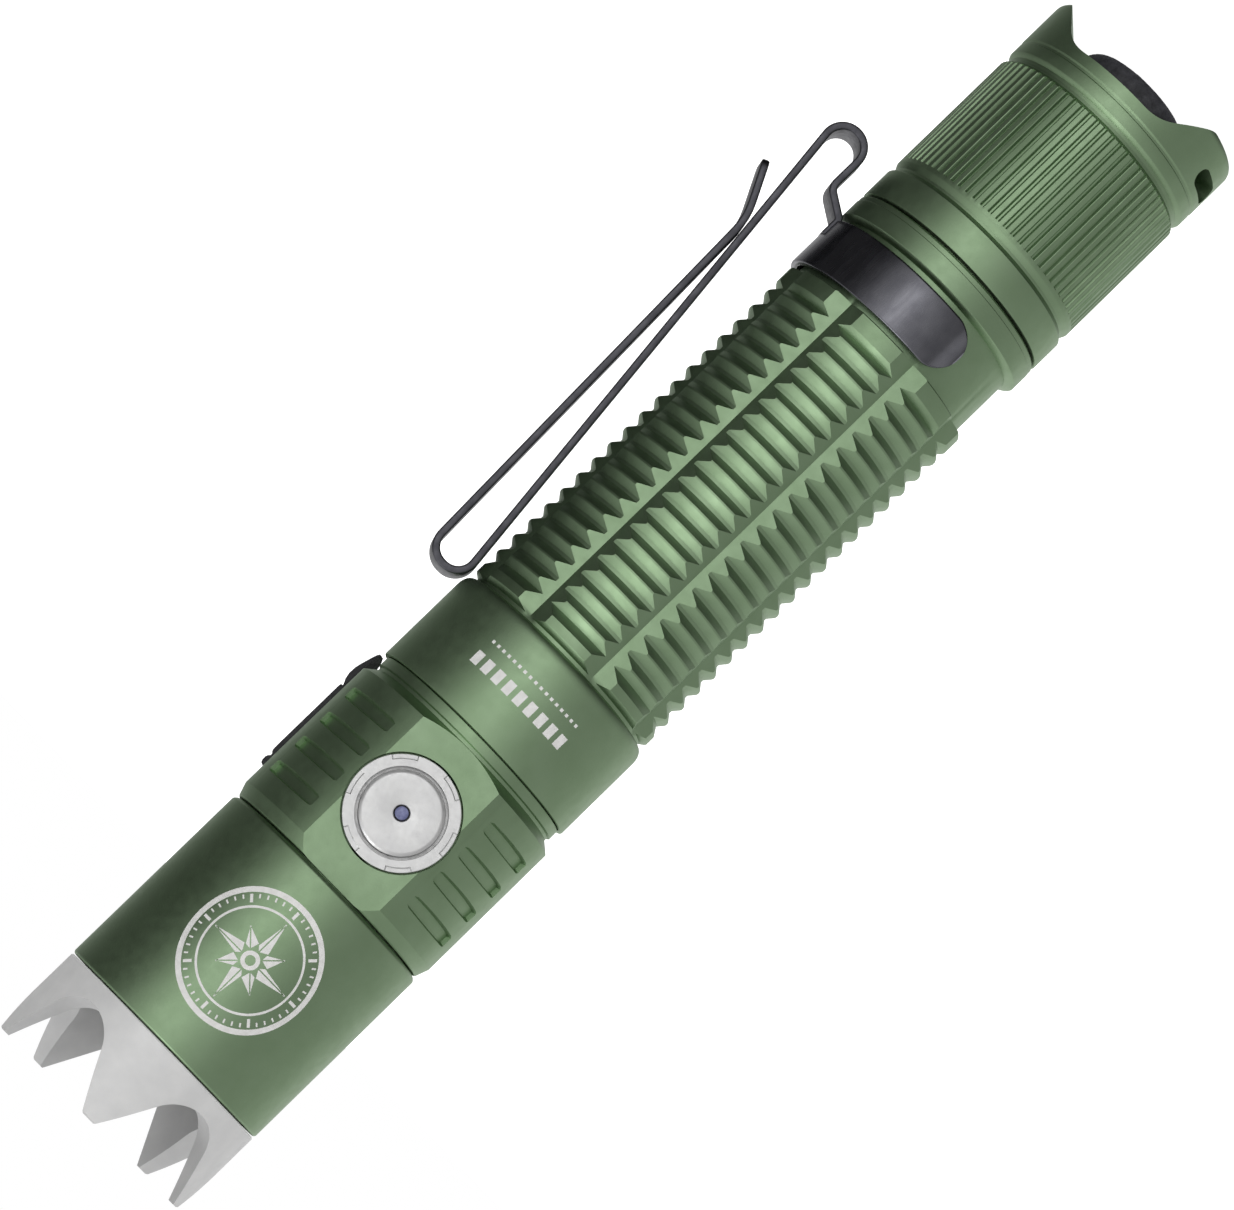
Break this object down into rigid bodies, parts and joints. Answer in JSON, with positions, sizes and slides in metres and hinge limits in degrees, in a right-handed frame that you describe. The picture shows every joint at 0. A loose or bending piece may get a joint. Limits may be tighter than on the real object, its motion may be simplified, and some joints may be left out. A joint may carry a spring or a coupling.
{
  "type": "tactical flashlight",
  "caption": "Pocket-size tactical flashlight with crowned strike bezel, side and tail switches, ribbed grip, two-way pocket clip and covered charging port.",
  "frame": {"origin": "on the flashlight's axis, at the plane of the two tail horns' tips that it stands on; the tail button's flat face is 0.6 mm above it", "axes": "+Z along the beam, from the tail to the lens; -Y is the side button's side; +X is the pocket clip's side"},
  "size_m": [0.0359, 0.0268, 0.1544],
  "materials": {
    "green_anodised": "matt hard-anodised green",
    "black_steel": "satin black spring steel",
    "stainless": "fine brushed",
    "blasted_steel": "bead-blasted stainless steel",
    "black_rubber": "matt moulded rubber",
    "mirror": "vapour-coated reflector",
    "clear_glass": "clear coated glass",
    "indicator_blue": "translucent light pipe",
    "board_green": "circuit board with solder mask",
    "board_copper": "copper-core board",
    "emitter_yellow": "phosphor under a clear dome",
    "brass": "turned brass",
    "spring_gold": "gold-plated spring wire",
    "white_plastic": "moulded",
    "black_plastic": "moulded",
    "wire_red": "insulated wire",
    "wire_black": "insulated wire",
    "cell_wrap": "shrink wrap"
  },
  "bodies": {
    "body": {"strike_bezel": "blasted_steel", "bezel_gasket": "black_rubber", "lens": "clear_glass", "reflector": "mirror", "led_gasket": "white_plastic", "led_emitter": "emitter_yellow", "led_board": "board_copper", "head_shell": "green_anodised", "head_o_ring": "black_rubber", "led_wire_positive": "wire_red", "led_wire_negative": "wire_black", "switch_housing": "green_anodised", "side_button_ring": "stainless", "side_switch_board": "board_green", "tact_switch": "black_plastic", "usb_port": "stainless", "usb_board": "board_green", "usb_cover_anchor": "black_rubber", "driver_board": "board_green", "driver_retaining_ring": "brass", "driver_contact_spring": "spring_gold", "neck_o_ring": "black_rubber", "body_tube": "green_anodised", "battery_cell": "cell_wrap", "tail_o_ring": "black_rubber"},
    "side_button": {"side_button": "stainless", "side_indicator": "indicator_blue"},
    "port_cover": {"usb_cover": "black_rubber"},
    "clip_root": {"clip_ring": "black_steel"},
    "clip_arm": {"clip_arm": "black_steel"},
    "clip_tongue": {"clip_tongue": "black_steel"},
    "tail_contact": {"tail_contact_spring": "spring_gold"},
    "tail_cap": {"tail_cap": "green_anodised", "tail_washer": "white_plastic", "tail_switch_body": "black_plastic", "tail_board": "board_green", "tail_retaining_ring": "brass"},
    "tail_button": {"tail_boot": "black_rubber", "tail_plunger": "white_plastic", "tail_switch_spring": "spring_gold"}
  },
  "joints": [
    {"name": "side_button_press", "type": "slide", "parent": "body", "child": "side_button", "axis": [0, 1, 0], "range_m": [0, 0.0004], "stiffness_N_per_m": 2500, "springref_m": -0.0005},
    {"name": "port_cover_open", "type": "hinge", "parent": "body", "child": "port_cover", "pos_m": [0.01325, 0.00482, 0.1151], "axis": [0.342, -0.9397, 0], "range_deg": [0, 100], "stiffness_Nm_per_rad": 0.002},
    {"name": "clip_turn", "type": "hinge", "parent": "body", "child": "clip_root", "pos_m": [0, 0, 0.0372], "axis": [0, 0, 1], "continuous": true},
    {"name": "clip_arm_flex", "type": "hinge", "parent": "clip_root", "child": "clip_arm", "pos_m": [0.01785, 0, 0.0281], "axis": [0, 1, 0], "range_deg": [0, 3], "stiffness_Nm_per_rad": 6},
    {"name": "clip_tongue_flex", "type": "hinge", "parent": "clip_arm", "child": "clip_tongue", "pos_m": [0.01562, 0, 0.0866], "axis": [0, -1, 0], "range_deg": [0, 4], "stiffness_Nm_per_rad": 4},
    {"name": "tail_cap_travel", "type": "slide", "parent": "body", "child": "tail_contact", "axis": [0, 0, -1], "range_m": [0, 0.0064]},
    {"name": "tail_cap_turn", "type": "hinge", "parent": "tail_contact", "child": "tail_cap", "pos_m": [0, 0, 0.0266], "axis": [0, 0, -1], "range_deg": [0, 1537]},
    {"name": "tail_button_press", "type": "slide", "parent": "tail_cap", "child": "tail_button", "axis": [0, 0, 1], "range_m": [0, 0.0018], "stiffness_N_per_m": 2500, "springref_m": -0.0008, "deforming": ["tail_boot", "tail_switch_spring"]}
  ],
  "couplings": [
    {"joint": "tail_cap_turn", "follows": "tail_cap_travel", "rad_per_m": 4188.8}
  ]
}
